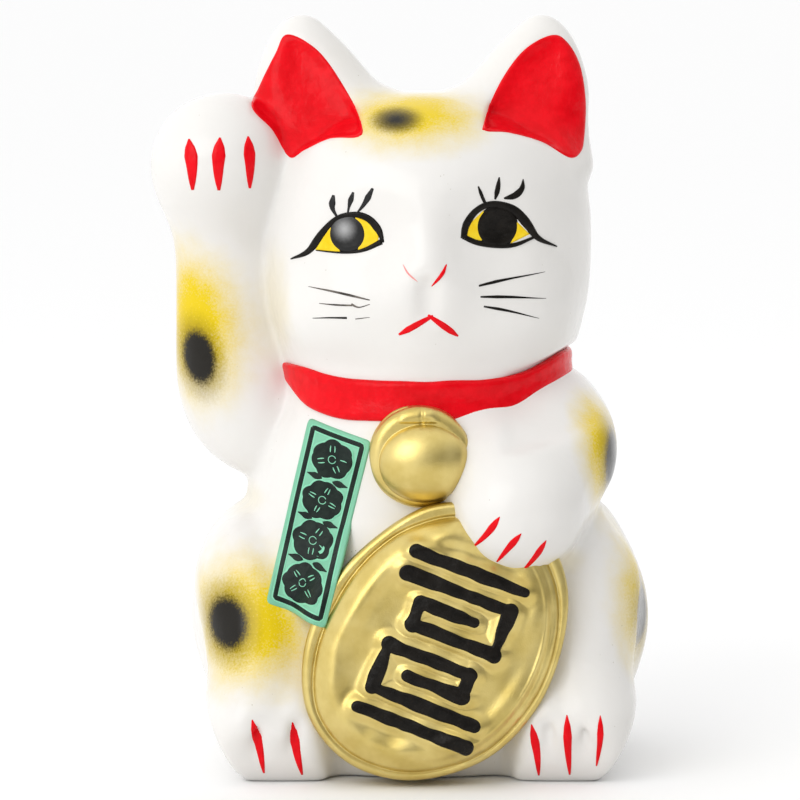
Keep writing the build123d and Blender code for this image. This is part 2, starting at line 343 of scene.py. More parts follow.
def model_face(field):
    """Nose bridge, muzzle, chin, cheeks and shallow eye sockets."""
    x, z = HEAD_X, NECK_Z
    add_ball(field, (x, FACE_Y + 11.0, z + 20.0), (15.0, 12.0, 12.0), 10.0)
    add_ball(field, (x, FACE_Y + 13.0, z + 9.0), (19.0, 12.0, 9.0), 6.0)
    add_rod(field, (x, FACE_Y + 9.6, z + 40.0), (x, FACE_Y + 4.4, z + 29.0), 5.5, 5.5, 15.0)
    add_ball(field, (x, FACE_Y + 2.6, z + 27.5), (4.4, 5.0, 4.0), 6.0)
    for side in (-1, 1):
        add_ball(field, (x + side * 18.0, FACE_Y + 19.0, z + 17.0), (15.0, 15.0, 13.0), 8.0)
        add_ball(field, (x + side * 17.5, FACE_Y - 6.5, z + 37.0), (11.0, 7.8, 8.0), 10.0, -1)
    add_rod(field, (x, FACE_Y - 5.5, z + 24.0), (x, FACE_Y - 4.4, z + 18.0), 2.2, 2.0, 3.0, -1)


# Outlines of the red inner ears, (x, z) as seen from the front.
RIGHT_INNER_EAR = [
    (-32.0, 175.5), (-24.5, 171.5), (-18.0, 162.5), (-14.0, 154.5), (-14.8, 151.8), (-21.5, 151.2),
    (-27.5, 148.4), (-31.4, 146.5), (-35.5, 153.0), (-40.4, 158.4), (-38.9, 163.0), (-35.0, 170.8),
]
LEFT_INNER_EAR = [
    (31.5, 175.3), (35.3, 173.8), (38.6, 168.0), (40.0, 159.0), (39.6, 151.0), (38.6, 147.4), (35.6, 146.3),
    (29.0, 150.2), (21.2, 152.6), (15.4, 153.2), (15.0, 155.0), (19.4, 164.5), (25.0, 171.8),
]
EAR_TOP_Z, EAR_TOP_Y = 175.0, -2.2  # where the scoop's floor starts
EAR_SLOPE, EAR_SCOOP = 0.37, 1.6    # how fast that floor comes forward below, and how far its edge is sunk


def from_segment(u, v, start, end):
    """The nearest place on a straight line, as a share of its length, and the distance to it."""
    axis = end - start
    du, dv = u - start[0], v - start[1]
    along = np.clip((du * axis[0] + dv * axis[1]) / (axis @ axis + 1e-9), 0, 1)
    return along, np.hypot(du - along * axis[0], dv - along * axis[1])


def outline_distance(outline, x, z):
    """Distance to a closed outline; negative inside it."""
    inside = np.zeros(np.broadcast(x, z).shape, bool)
    nearest = np.full(inside.shape, FAR)
    for start, end in zip(outline, np.roll(outline, -1, axis=0)):
        nearest = np.minimum(nearest, from_segment(x, z, start, end)[1])
        dx, dz = end - start
        inside ^= ((start[1] > z) != (end[1] > z)) & (x < dx * (z - start[1]) / (dz + 1e-9) + start[0])
    return np.where(inside, -nearest, nearest)


def model_ear(field, side):
    """The front of an ear, scooped out inside the edge of its red paint."""
    outline = RIGHT_INNER_EAR if side < 0 else LEFT_INNER_EAR
    outline = curve(outline, True, steps=3)
    low, high = outline.min(axis=0) - 4, outline.max(axis=0) + 4
    cut, (x, y, z) = window((low[0], -34, low[1]), (high[0], 6, high[1]))
    away = outline_distance(outline, x[:, 0], z[0])[:, None, :]
    dish = EAR_SCOOP * np.clip(1 + away / 8.0, 0, 1) ** 2
    floor = EAR_TOP_Y - EAR_SLOPE * (EAR_TOP_Z - z) - dish
    carved = soft_max(away + 0.4, y - floor, 1.5)
    field[cut] = soft_max(field[cut], -carved, 1.2)


def model_haunch(field, side):
    """A thigh that swells slightly, with a soft crease round it, running down into the foot."""
    centre, radii = (side * 50.0, -10.0, 27.0), (22.0, 60.0, 39.0)
    cut, (x, y, z) = window((-70 if side < 0 else 0, -70, 0), (0 if side < 0 else 70, 70, 80))
    thigh = ball_distance(x, y, z, centre, radii)
    groove = 1.1 * hump(thigh, 0, 2.4)
    swell = 0.9 * np.clip(-thigh / 8.0, 0, 1)
    field[cut] += groove - swell
    add_rod(field, (side * 36.0, -33.5, 13.0), (side * 37.0, -21.0, 44.0), 11.5, 13.5, 12.0)


# Half width of the figurine near the floor, at a few levels.
FOOT_LEVELS = (0, 3, 7, 10, 14, 21, 28, 36)
FOOT_HALF_WIDTHS = (42.0, 44.6, 46.9, 48.6, 50.6, 54.4, 57.0, 60.0)
FOOT_MIDDLE = 0.4
# How far forward the toes reach near the floor.
TOE_LEVELS = (0, 2, 5, 9, 14)
TOE_REACH = (41.0, 43.6, 46.0, 48.0, 52.0)


def trim_foot(field):
    """Narrows the haunches and feet towards the floor, and rounds the toes under."""
    cut, (x, y, z) = window((-80, -80, -5), (80, 80, 36))
    beyond = np.abs(x - FOOT_MIDDLE) - np.interp(z, FOOT_LEVELS, FOOT_HALF_WIDTHS)
    field[cut] = soft_max(field[cut], beyond, 2.5)
    beyond = -y - np.interp(z, TOE_LEVELS, TOE_REACH)
    field[cut] = soft_max(field[cut], beyond, 2.0)


def model_toes(field, side):
    """Shallow grooves between the toes of a hind foot."""
    low, high = node_box("right_foot" if side < 0 else "left_foot")
    middle = (low[0] + high[0]) / 2
    for place in (-0.12, 0.22) if side < 0 else (-0.2, 0.12):
        x = middle + place * (high[0] - low[0])
        start, end = (x, low[1] - 1.4, 1.0), (x, low[1] + 1.2, high[2] - 6.0)
        add_rod(field, start, end, 1.2, 0.9, 4.0, -1)


def neck_window(start):
    """The grid round the neck: its slices, X and Y from the neck's axis and height over the collar."""
    cut, (x, y, z) = window((HEAD_X + start, -45, NECK_Z - 20), (HEAD_X + 45, 45, NECK_Z + 20))
    x = x - HEAD_X
    return cut, x, y - NECK_Y, z - collar_level(np.arctan2(x, -y))


def model_neck(field):
    """Fills the groove between the chin and the chest, behind the collar."""
    cut, x, y, level = neck_window(-45)
    radius = (np.sqrt((x / NECK_RADIUS) ** 2 + (y / NECK_RADIUS) ** 2) - 1) * NECK_RADIUS
    field[cut] = soft_min(field[cut], np.maximum(radius, np.abs(level) - 4.5), 7.0)


def narrow_neck(field):
    """A shallow groove under the collar on the side where no arm is raised."""
    cut, x, y, level = neck_window(8)
    reach = NECK_RADIUS + 1.0 + 1.2 * np.clip(-level, 0, 12) + 0.7 * np.clip(20 - x, 0, 12)
    groove = np.maximum(reach - np.hypot(x, y), np.maximum(level - 3.5, -level - 10.0))
    field[cut] = soft_max(field[cut], -groove, 3.0)


def collar_level(around):
    """Height of the collar's middle line; around is the angle from the front, to the cat's left."""
    left = 6.0 * smooth((around - 0.35) / 0.9)
    right = 5.0 * smooth((-around - 0.5) / 1.0) + smooth((-around - 2.0) / 1.0)
    return COLLAR_MIDDLE + left + right


body_field, trunk_field = build_body()


SIMPLER = 0.004                 # how readily flat places are meshed with fewer faces
SETTLINGS = 3                   # times that the mesh is moved onto the exact surface


def skin_mesh(field):
    """Corner points, faces and normals of the field's surface."""
    points, triangles, quads = surface_of(field, SIMPLER)
    for _ in range(SETTLINGS):
        points = points - sample(field, points)[:, None] * outward(field, points)
    return points, quads.tolist() + triangles.tolist(), outward(field, points, 1.5 * VOXEL)


# ---- meshes
def new_object(name, data):
    """A scene object that holds a mesh, a light or a camera."""
    made = bpy.data.objects.new(name, data)
    bpy.context.scene.collection.objects.link(made)
    return made


def make_object(name, points, faces, material, normals=None):
    """A mesh object from points in millimetres, riding on the casting."""
    mesh = bpy.data.meshes.new(name)
    mesh.from_pydata((np.asarray(points) * MM).tolist(), [], faces)
    mesh.validate()
    mesh.shade_smooth()
    if normals is not None:
        mesh.normals_split_custom_set_from_vertices(normals)
    piece = new_object(name, mesh)
    mesh.materials.append(material)
    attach(piece, CASTING)
    return piece


def grid_faces(rows, columns, wrap=False, start=0):
    """Four-sided faces of a rows by columns sheet of points."""
    last = columns if wrap else columns - 1
    faces = []
    for i in range(rows - 1):
        for j in range(last):
            k = (j + 1) % columns
            a, b = start + i * columns, start + (i + 1) * columns
            faces.append((a + j, a + k, b + k, b + j))
    return faces


def sheet_solid(front, back):
    """Points and faces of a closed solid between two sheets of points, each rows by columns by 3."""
    rows, columns = front.shape[:2]
    count = rows * columns
    points = np.concatenate([front.reshape(-1, 3), back.reshape(-1, 3)])
    faces = grid_faces(rows, columns)
    faces += [tuple(reversed(f)) for f in grid_faces(rows, columns, start=count)]
    rim = list(range(columns)) + [i * columns + columns - 1 for i in range(1, rows)]
    rim += [(rows - 1) * columns + j for j in range(columns - 2, -1, -1)]
    rim += [i * columns for i in range(rows - 2, 0, -1)]
    for a, b in zip(rim, rim[1:] + rim[:1]):
        faces.append((b, a, a + count, b + count))
    return points, faces


def disc_solid(front, back):
    """Points and faces of a closed solid between two discs, each a centre point and rings of points."""
    rings, around = front.shape[:2]
    count = rings * around
    faces = grid_faces(rings, around, wrap=True)
    faces += [tuple(reversed(f)) for f in grid_faces(rings, around, wrap=True, start=count)]
    last = (rings - 1) * around
    for j in range(around):
        a, b = last + j, last + (j + 1) % around
        faces.append((a, b, b + count, a + count))
    points = np.concatenate([front.reshape(-1, 3), back.reshape(-1, 3)])
    faces.append(tuple(range(around - 1, -1, -1)))
    faces.append(tuple(range(count, count + around)))
    return points, faces


# ---- strokes and patches
def evenly(line, count):
    """The same line with count points at equal distances."""
    step = np.concatenate([[0], np.cumsum(np.linalg.norm(np.diff(line, axis=0), axis=1))])
    wanted = np.linspace(0, step[-1], count)
    return np.stack([np.interp(wanted, step, line[:, k]) for k in range(line.shape[1])], -1)


def on_body(flat):
    """Points and normals where lines along +Y, at (x, z), first meet the body."""
    flat = np.asarray(flat, float)
    depth = np.arange(axis_points[1][0], axis_points[1][-1], RAY_STEP)
    rays = np.empty(flat.shape[:-1] + (len(depth), 3))
    rays[..., 0] = flat[..., None, 0]
    rays[..., 1] = depth
    rays[..., 2] = flat[..., None, 1]
    hit, share = first_hit(body_field, rays)
    points = np.stack([flat[..., 0], depth[hit - 1] + share * RAY_STEP, flat[..., 1]], -1)
    return points, outward(body_field, points)


SINK = 0.5                      # how far the back of a painted mark lies under the surface


def stroke(name, line, widths, material, place=on_body, height=INK_DEPTH, lift=0.0, steps=None):
    """A brush stroke: a raised bead along a line, with a width at each of a few even stations."""
    length = np.linalg.norm(np.diff(line, axis=0), axis=1).sum()
    count = steps or max(8, int(length / 0.45))
    path = evenly(line, count)
    width = np.interp(np.linspace(0, 1, count), np.linspace(0, 1, len(widths)), widths)
    heading = np.gradient(path, axis=0)
    heading /= np.linalg.norm(heading, axis=1, keepdims=True) + 1e-9
    side = np.stack([-heading[:, 1], heading[:, 0]], -1)
    across = np.linspace(-1, 1, 9)
    flat = path[:, None] + side[:, None] * (width[:, None] / 2 * across)[..., None]
    points, normals = place(flat)
    bead = np.sqrt(np.clip(1 - np.abs(across) ** 3, 0, 1))
    thick = np.minimum(height, width / 3)[:, None] * bead
    thick[0], thick[-1] = 0, 0
    front = points + normals * (thick + lift * bead)[..., None]
    back = points - normals * SINK
    return make_object(name, *sheet_solid(front, back), material)


def strokes(name, marks, **options):
    """Numbered brush strokes, each from its points, widths and material."""
    for number, (points, widths, material) in enumerate(marks, 1):
        stroke(f"{name}_{number}", curve(points), widths, material, **options)


def patch(name, outline, material, place=on_body, height=INK_DEPTH, edge=1.0, rings=None):
    """A painted area inside an outline that its own middle can see all of."""
    middle = outline.mean(axis=0)
    span = np.linalg.norm(outline - middle, axis=1)
    rings = rings or max(5, int(span.max() / 0.7))
    share = 1 - (1 - np.linspace(0.02, 1, rings)) ** 1.3
    flat = middle + share[:, None, None] * (outline - middle)
    points, normals = place(flat)
    thick = height * rounded((1 - share)[:, None] * span, edge)
    front = points + normals * thick[..., None]
    back = points - normals * SINK
    return make_object(name, *disc_solid(front, back), material)


# ---- materials
def new_material(name):
    """A material with one plain shader: the material, its node tree and the shader."""
    material = bpy.data.materials.new(name)
    material.use_nodes = True
    tree = material.node_tree
    tree.nodes.clear()
    output = tree.nodes.new("ShaderNodeOutputMaterial")
    shader = tree.nodes.new("ShaderNodeBsdfPrincipled")
    tree.links.new(shader.outputs[0], output.inputs[0])
    return material, tree, shader


def set_inputs(tree, node, inputs):
    """Sets sockets, by name or number, to a value or links them to another socket."""
    for key, value in inputs.items():
        if isinstance(value, bpy.types.NodeSocket):
            tree.links.new(value, node.inputs[key])
        else:
            node.inputs[key].default_value = value


def add_node(tree, kind, inputs=None, **settings):
    node = tree.nodes.new("ShaderNode" + kind)
    for key, value in settings.items():
        setattr(node, key, value)
    set_inputs(tree, node, inputs or {})
    return node


def math_node(tree, operation, a, b=0.0, clamp=False):
    return add_node(tree, "Math", {0: a, 1: b}, operation=operation, use_clamp=clamp).outputs[0]


def times(tree, a, b):
    return math_node(tree, "MULTIPLY", a, b)


def highest(tree, values):
    """The greatest of several values at each point."""
    top = values[0]
    for value in values[1:]:
        top = math_node(tree, "MAXIMUM", top, value)
    return top


def blend_colour(tree, share, a, b):
    """Colour a where share is 0 and colour b where it is 1."""
    ends = {index: (*value, 1) if isinstance(value, tuple) else value for index, value in ((6, a), (7, b))}
    return add_node(tree, "Mix", {"Factor": share, **ends}, data_type="RGBA").outputs[2]


def noise(tree, where, scale, detail=3.0, roughness=0.55):
    inputs = {"Vector": where, "Scale": scale, "Detail": detail, "Roughness": roughness}
    return add_node(tree, "TexNoise", inputs).outputs[0]


def ramp(tree, value, low, high):
    """0 below low, 1 above high, smooth between."""
    inputs = {0: value, 1: low, 2: high, 3: 0.0, 4: 1.0}
    return add_node(tree, "MapRange", inputs, interpolation_type="SMOOTHSTEP").outputs[0]


def position(tree):
    """The point on the surface, in millimetres."""
    place = add_node(tree, "TexCoord").outputs["Object"]
    return add_node(tree, "VectorMath", {0: place, "Scale": 1 / MM}, operation="SCALE").outputs[0]


def bump(tree, scale, depth, strength, detail=3.0):
    """Fine unevenness made of noise."""
    height = noise(tree, position(tree), scale, detail)
    inputs = {"Height": height, "Distance": depth, "Strength": strength}
    return add_node(tree, "Bump", inputs).outputs[0]


def finish(tree, shader, colour, rough, grain, gloss=0.5, **more):
    """Completes a paint: colour, a roughness that wanders, a fine bump, specular level and plain inputs.

    rough is the scale of its noise and the ends of its range; grain is what bump asks for.
    """
    scale, low, high = rough
    wander = add_node(tree, "MapRange", {0: noise(tree, position(tree), scale), 3: low, 4: high})
    set_inputs(tree, shader, {
        "Base Color": colour,
        "Roughness": wander.outputs[0],
        "Normal": bump(tree, *grain),
        "Specular IOR Level": gloss,
        **more,
    })


def spot(tree, where, centre, radii, lean=0.0):
    """How deep inside an ellipsoid a point is: 1 at the middle, 0 on it, negative outside."""
    inputs = {"Vector": where, "Location": centre, "Rotation": (0, math.radians(lean), 0), "Scale": radii}
    local = add_node(tree, "Mapping", inputs, vector_type="TEXTURE").outputs[0]
    size = add_node(tree, "VectorMath", {0: local}, operation="LENGTH").outputs["Value"]
    return math_node(tree, "SUBTRACT", 1.0, size)


# Airbrushed spots: middle and radii of the black, middle and radii of the yellow, lean in degrees,
# and how softly the black fades.
SPOTS = [
    ((-53.4, -11.0, 98.1), (4.0, 12.0, 6.4), (-54.5, -10.0, 106.0), (11.5, 18.0, 17.0), -12.0, 0.25),
    ((-45.5, -33.0, 37.0), (4.8, 14.0, 6.2), (-40.5, -36.0, 37.5), (16.0, 22.0, 14.0), -9.0, 0.25),
    ((45.6, -21.0, 74.5), (3.3, 8.5, 7.0), (42.6, -24.0, 78.0), (6.4, 15.0, 13.5), 0.0, 0.3),
    ((53.8, -15.0, 36.8), (4.7, 11.0, 7.8), (51.4, -18.0, 39.5), (8.6, 17.0, 16.0), 0.0, 0.25),
    ((-5.8, -24.0, 155.8), (3.9, 6.5, 2.1), (-2.0, -20.0, 156.3), (15.5, 16.0, 8.6), 0.0, 0.9),
]
# Creases given painted shade, tinted the yellow of thinned paint gathered there: middle and radii.
SHADED_CREASES = [
    ((-35.5, -18.0, 110.0), (4.5, 17.0, 15.0)),
    ((-43.0, -8.0, 64.0), (7.0, 18.0, 4.0)),
    ((44.0, -12.0, 58.5), (6.0, 16.0, 4.5)),
    ((33.0, -38.0, 52.0), (6.0, 12.0, 3.5)),
    ((-33.0, -30.0, 22.0), (9.0, 16.0, 4.0)),
]


def white_glaze():
    """Warm white gloss glaze with airbrushed spots, fine specks and painted shade in the creases, tinted
    yellow where thinned yellow gathers.
    """
    material, tree, shader = new_material("white_glaze")
    where = position(tree)
    colour = blend_colour(tree, noise(tree, where, 0.05), (0.76, 0.74, 0.71), (0.79, 0.775, 0.75))
    grain = noise(tree, where, 1.9, 2.0, 0.7)
    edges = noise(tree, where, 0.16), grain
    drift, fizz = (times(tree, math_node(tree, "SUBTRACT", edge, 0.5), 0.55) for edge in edges)

    def soft_mask(centre, radii, lean, ragged, low, high):
        depth = math_node(tree, "ADD", spot(tree, where, centre, radii, lean), ragged)
        return ramp(tree, depth, low, high)

    yellow = highest(tree, [soft_mask(*s[2:5], drift, -0.6, 0.85) for s in SPOTS])
    black = highest(tree, [soft_mask(*s[:2], s[4], fizz, -s[5], s[5]) for s in SPOTS])
    haze = highest(tree, [soft_mask(*s[:2], s[4], fizz, -1.1, 0.3) for s in SPOTS])
    # painted shade: the creases turn a darker yellow tan, partly painted shade and partly thinned yellow
    # gathered there
    crease_shade_and_pooling = highest(tree, [soft_mask(*crease, 0.0, drift, -0.4, 0.7) for crease in SHADED_CREASES])
    colour = blend_colour(tree, times(tree, crease_shade_and_pooling, 0.4), colour, (0.72, 0.62, 0.36))
    yellow = math_node(tree, "MULTIPLY", yellow, math_node(tree, "ADD", grain, 0.65), clamp=True)
    colour = blend_colour(tree, yellow, colour, (0.74, 0.54, 0.0))
    colour = blend_colour(tree, times(tree, haze, 0.7), colour, (0.15, 0.10, 0.0))
    colour = blend_colour(tree, black, colour, (0.008, 0.006, 0.003))
    cells = add_node(tree, "TexVoronoi", {"Vector": where, "Scale": 0.42}).outputs["Distance"]
    rare = ramp(tree, noise(tree, where, 0.07), 0.52, 0.66)
    speck = times(tree, math_node(tree, "LESS_THAN", cells, 0.055), rare)
    set_inputs(tree, shader, {
        "Base Color": blend_colour(tree, times(tree, speck, 0.6), colour, (0.25, 0.20, 0.10)),
        "Roughness": ramp(tree, noise(tree, where, 0.35), -1.2, 4.5),
        "Specular IOR Level": 0.22,
        "Coat Weight": 0.12,
        "Coat Roughness": 0.1,
        "Normal": bump(tree, 0.12, 0.0006, 0.5, 2.0),
    })
    return material


def enamel(name, dark, light, rough):
    """Brushed enamel: two close tones drawn out by the brush, and a slightly uneven gloss."""
    material, tree, shader = new_material(name)
    tone = ramp(tree, noise(tree, position(tree), 0.35), 0.3, 0.7)
    colour = blend_colour(tree, tone, dark, light)
    finish(tree, shader, colour, (0.8, rough - 0.06, rough + 0.1), (0.5, 0.0004, 0.5), 0.12)
    return material


def pupil_enamel():
    """Airbrushed black, grey towards the upper middle of the right eye's pupil: partly airbrushed grey,
    partly a painted highlight.
    """
    material, tree, shader = new_material("black_enamel_grey_and_highlight")
    where = position(tree)
    depth = spot(tree, where, (-18.0, -31.0, 130.4), (4.2, 9.0, 4.4))
    depth = math_node(tree, "ADD", depth, times(tree, noise(tree, where, 2.0), 0.12))
    # painted highlight: grey at the pupil's upper middle, partly airbrushed grey and partly a painted
    # highlight
    grey_and_highlight = ramp(tree, depth, 0.2, 1.15)
    colour = blend_colour(tree, grey_and_highlight, (0.012, 0.012, 0.012), (0.40, 0.40, 0.40))
    finish(tree, shader, colour, (0.9, 0.16, 0.3), (0.5, 0.0003, 0.3), 0.25)
    return material


def gold_paint():
    """Satin gold paint: metallic, with darker tarnish in patches and a few rubbed specks."""
    material, tree, shader = new_material("gold_paint")
    where = position(tree)
    tone = ramp(tree, noise(tree, where, 0.12), 0.3, 0.7)
    colour = blend_colour(tree, tone, (0.60, 0.46, 0.14), (0.72, 0.58, 0.22))
    fleck = times(tree, ramp(tree, noise(tree, where, 2.6, 2.0), 0.72, 0.8), 0.5)
    colour = blend_colour(tree, fleck, colour, (0.83, 0.74, 0.5))
    finish(tree, shader, colour, (0.9, 0.27, 0.42), (3.0, 0.0002, 0.25), Metallic=1.0)
    return material


def soft_plastic():
    """Translucent white soft plastic with faint moulding grain."""
    material, tree, shader = new_material("stopper_plastic")
    tone = noise(tree, position(tree), 0.2)
    colour = blend_colour(tree, tone, (0.72, 0.71, 0.66), (0.8, 0.79, 0.75))
    finish(tree, shader, colour, (1.2, 0.42, 0.6), (1.5, 0.0002, 0.4))
    shader.inputs["Subsurface Weight"].default_value = 0.2
    shader.inputs["Subsurface Radius"].default_value = (0.002, 0.002, 0.002)
    return material


def label_paper():
    """Mint green gloss paper with faint fibres."""
    material, tree, shader = new_material("label_paper")
    fibres = noise(tree, position(tree), 0.5, 4.0)
    colour = blend_colour(tree, fibres, (0.16, 0.47, 0.30), (0.20, 0.53, 0.35))
    finish(tree, shader, colour, (1.5, 0.25, 0.4), (2.2, 0.0002, 0.2, 4.0))
    return material


WHITE = white_glaze()
RED = enamel("red_enamel", (0.70, 0.001, 0.006), (0.80, 0.003, 0.010), 0.2)
BLACK = enamel("black_enamel", (0.006, 0.005, 0.004), (0.012, 0.010, 0.008), 0.24)
YELLOW = enamel("yellow_enamel", (0.86, 0.56, 0.01), (0.9, 0.66, 0.03), 0.25)
GOLD = gold_paint()
LABEL = label_paper()
PRINT = enamel("label_print", (0.008, 0.014, 0.012), (0.015, 0.025, 0.02), 0.28)
PINK = enamel("red_enamel_thin", (0.80, 0.25, 0.24), (0.85, 0.34, 0.32), 0.25)
GREY = enamel("black_enamel_thin", (0.035, 0.03, 0.025), (0.16, 0.14, 0.12), 0.25)
MINT = enamel("label_green_ink", (0.22, 0.60, 0.40), (0.26, 0.66, 0.44), 0.3)
PUPIL = pupil_enamel()


# ---- the body piece
def body_piece():
    points, faces, normals = skin_mesh(body_field)
    piece = make_object("glazed_body", points, faces, WHITE, normals)
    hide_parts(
        "torso_shell", "head_shell", "right_ear", "left_ear", "raised_arm", "resting_arm",
        "right_foot", "left_foot", "tail",
    )


# ---- painted marks on the white
# Every mark is drawn as seen from the front, in (x, z), and laid onto the body under it.
def paint_red():
    """Inner ears, nose marks, mouth and claws."""
    patch("right_inner_ear", curve(RIGHT_INNER_EAR, True), RED, height=0.3, edge=0.8)
    patch("left_inner_ear", curve(LEFT_INNER_EAR, True), RED, height=0.3, edge=0.8)
    for name, line, widths, tone in (
        ("nose_mark_right", [(-4.2, 122.6), (-3.0, 120.6), (-0.8, 118.7)], (0.15, 0.42, 0.4, 0.12), PINK),
        ("nose_mark_left", [(6.0, 122.7), (4.9, 120.4), (2.4, 117.4)], (0.3, 0.95, 0.75, 0.2), RED),
        ("mouth_right", [(2.9, 110.5), (-0.4, 108.7), (-5.2, 105.9)], (0.6, 1.2, 1.5, 1.5, 0.5), RED),
        ("mouth_left", [(1.6, 110.7), (4.9, 108.4), (8.8, 105.5)], (0.6, 1.2, 1.6, 1.5, 0.4), RED),
    ):
        stroke(name, curve(line), widths, tone)
    claws = {
        "raised": [((-55.0, 151.2), (-54.2, 139.0), 3.3), ((-47.6, 151.6), (-47.9, 139.0), 3.3),
                   ((-41.0, 151.8), (-40.6, 139.4), 2.8)],
        "resting": [((18.3, 64.8), (12.3, 57.0), 1.7), ((23.3, 60.9), (17.7, 53.5), 1.7),
                    ((29.2, 59.0), (23.7, 51.0), 1.6)],
        "right_foot": [((-39.6, 16.2), (-37.0, 2.5), 2.2), ((-30.2, 15.3), (-28.0, 2.0), 2.3)],
        "left_foot": [((26.0, 14.8), (27.9, 1.8), 2.1), ((34.3, 17.2), (35.2, 2.0), 2.1),
                      ((42.1, 17.2), (41.4, 4.5), 1.6)],
    }
    swelling = (0.12, 0.75, 1.0, 0.85, 0.7, 0.5, 0.2)
    for paw, places in claws.items():
        marks = []
        for number, (start, end, width) in enumerate(places):
            bend = -0.2 if number % 2 else 0.3
            middle = ((start[0] + end[0]) / 2 + bend, (start[1] + end[1]) / 2)
            marks.append(([start, middle, end], [share * width for share in swelling], RED))
        strokes(f"{paw}_claw", marks)


def paint_eye(side, corners, pupil, lids, lashes):
    """One eye: two yellow corners, the pupil over them, then the lids and lashes."""
    for number, corner in enumerate(corners, 1):
        patch(f"{side}_iris_{number}", polygon(corner, 4), YELLOW, height=0.16, edge=0.4)
    centre, radii, tone = pupil
    patch(f"{side}_pupil", centre + oval(full_turn(48), *radii), tone, height=0.26, edge=0.6)
    strokes(f"{side}_lid", [(*lid, BLACK) for lid in lids], lift=0.12)
    strokes(f"{side}_lash", [(*lash, tone) for lash in lashes])


def paint_eyes():
    paint_eye(
        "right",
        [[(-21.4, 131.2), (-25.0, 125.2), (-19.0, 124.7), (-19.0, 128.0)],
         [(-15.6, 133.4), (-12.2, 132.4), (-9.8, 129.4), (-10.0, 127.2), (-12.6, 125.7), (-14.8, 125.0)]],
        ((-17.3, 129.2), (4.4, 4.5), PUPIL),
        [([(-30.9, 122.6), (-26.6, 124.8), (-23.3, 129.2), (-19.8, 132.8), (-15.7, 133.8), (-12.4, 132.9),
           (-10.0, 130.3), (-8.9, 127.4)], (0.3, 1.2, 1.9, 1.7, 1.2, 1.3, 1.7, 2.0, 0.7)),
         ([(-9.2, 127.6), (-13.6, 125.5), (-18.1, 124.8), (-24.8, 125.1)], (1.4, 1.0, 0.6, 0.45, 0.25))],
        [([(-19.6, 132.9), (-20.9, 135.4), (-20.6, 138.3)], (0.4, 0.9, 1.7, 0.6)),
         ([(-17.3, 133.6), (-16.8, 136.2), (-15.9, 139.1)], (0.4, 0.6, 1.4, 0.5)),
         ([(-15.2, 134.0), (-13.3, 136.4), (-11.3, 140.1)], (0.3, 0.9, 1.5, 0.6))],
    )
    paint_eye(
        "left",
        [[(14.8, 135.0), (11.0, 131.4), (10.8, 128.8), (12.6, 127.9), (15.4, 127.6)],
         [(22.2, 132.6), (25.8, 129.0), (21.2, 126.9)]],
        ((18.0, 131.0), (5.0, 5.1), BLACK),
        [([(10.0, 128.4), (10.7, 131.6), (12.8, 134.6), (15.8, 136.2), (19.2, 136.0), (22.4, 134.5),
           (25.2, 131.4), (27.8, 128.0), (32.4, 125.7)], (1.4, 1.9, 1.6, 1.5, 1.7, 2.1, 2.3, 1.7, 1.0, 0.3)),
         ([(9.9, 128.9), (13.4, 127.3), (17.9, 126.5), (22.2, 126.6), (27.2, 128.4)],
          (1.3, 1.3, 1.2, 1.0, 0.6))],
        [([(15.3, 136.2), (14.4, 138.2), (13.5, 140.6)], (0.7, 0.8, 0.8, 0.3)),
         ([(17.5, 137.4), (18.1, 139.8), (18.5, 142.6)], (0.4, 1.3, 1.1, 0.3)),
         ([(19.6, 137.6), (22.2, 138.2), (23.9, 139.8), (24.2, 142.0)], (0.4, 1.4, 1.7, 1.2, 0.2))],
    )


def paint_whiskers():
    whiskers = [
        ([(-26.6, 116.6), (-20.0, 115.6), (-12.0, 114.0)], (0.12, 0.45, 0.6, 0.25), GREY),
        ([(-24.0, 112.8), (-20.0, 112.6), (-16.2, 112.6)], (0.15, 0.4, 0.4), GREY),
        ([(-16.4, 112.9), (-14.6, 112.2), (-12.0, 113.0)], (0.6, 0.25, 0.2), GREY),
        ([(-25.6, 109.2), (-21.6, 109.5), (-17.4, 109.6)], (0.15, 0.35, 0.5), BLACK),
        ([(-15.4, 109.4), (-14.0, 109.6), (-12.0, 109.9)], (0.25, 0.2, 0.1), GREY),
        ([(13.6, 117.4), (20.5, 118.7), (29.5, 120.0)], (0.5, 0.75, 0.45, 0.3, 0.1), BLACK),
        ([(14.0, 114.8), (21.5, 114.5), (29.7, 113.8)], (0.4, 0.75, 0.6, 0.3, 0.1), BLACK),
        ([(14.8, 112.5), (21.0, 111.2), (28.0, 109.2)], (0.4, 0.7, 0.5, 0.3, 0.1), BLACK),
    ]
    strokes("whisker", whiskers, height=0.15)


# ---- collar
def round_neck(flat):
    """Points and normals on the trunk; flat holds the angle round it in radians, and the level."""
    reach = np.arange(NECK_OUTSIDE, NECK_INSIDE, -RAY_STEP)
    angle, level = flat[..., 0], flat[..., 1]
    away = np.stack([np.sin(angle), -np.cos(angle), np.zeros_like(angle)], -1)
    start = np.stack([np.full_like(angle, HEAD_X), np.full_like(angle, NECK_Y), level], -1)
    rays = start[..., None, :] + away[..., None, :] * reach[:, None]
    hit, share = first_hit(trunk_field, rays)
    return start + away * (reach[hit - 1] - share * RAY_STEP)[..., None], away


COLLAR_THICK, COLLAR_SUNK = 1.5, 1.0    # how far the band stands out of the neck, and reaches into it


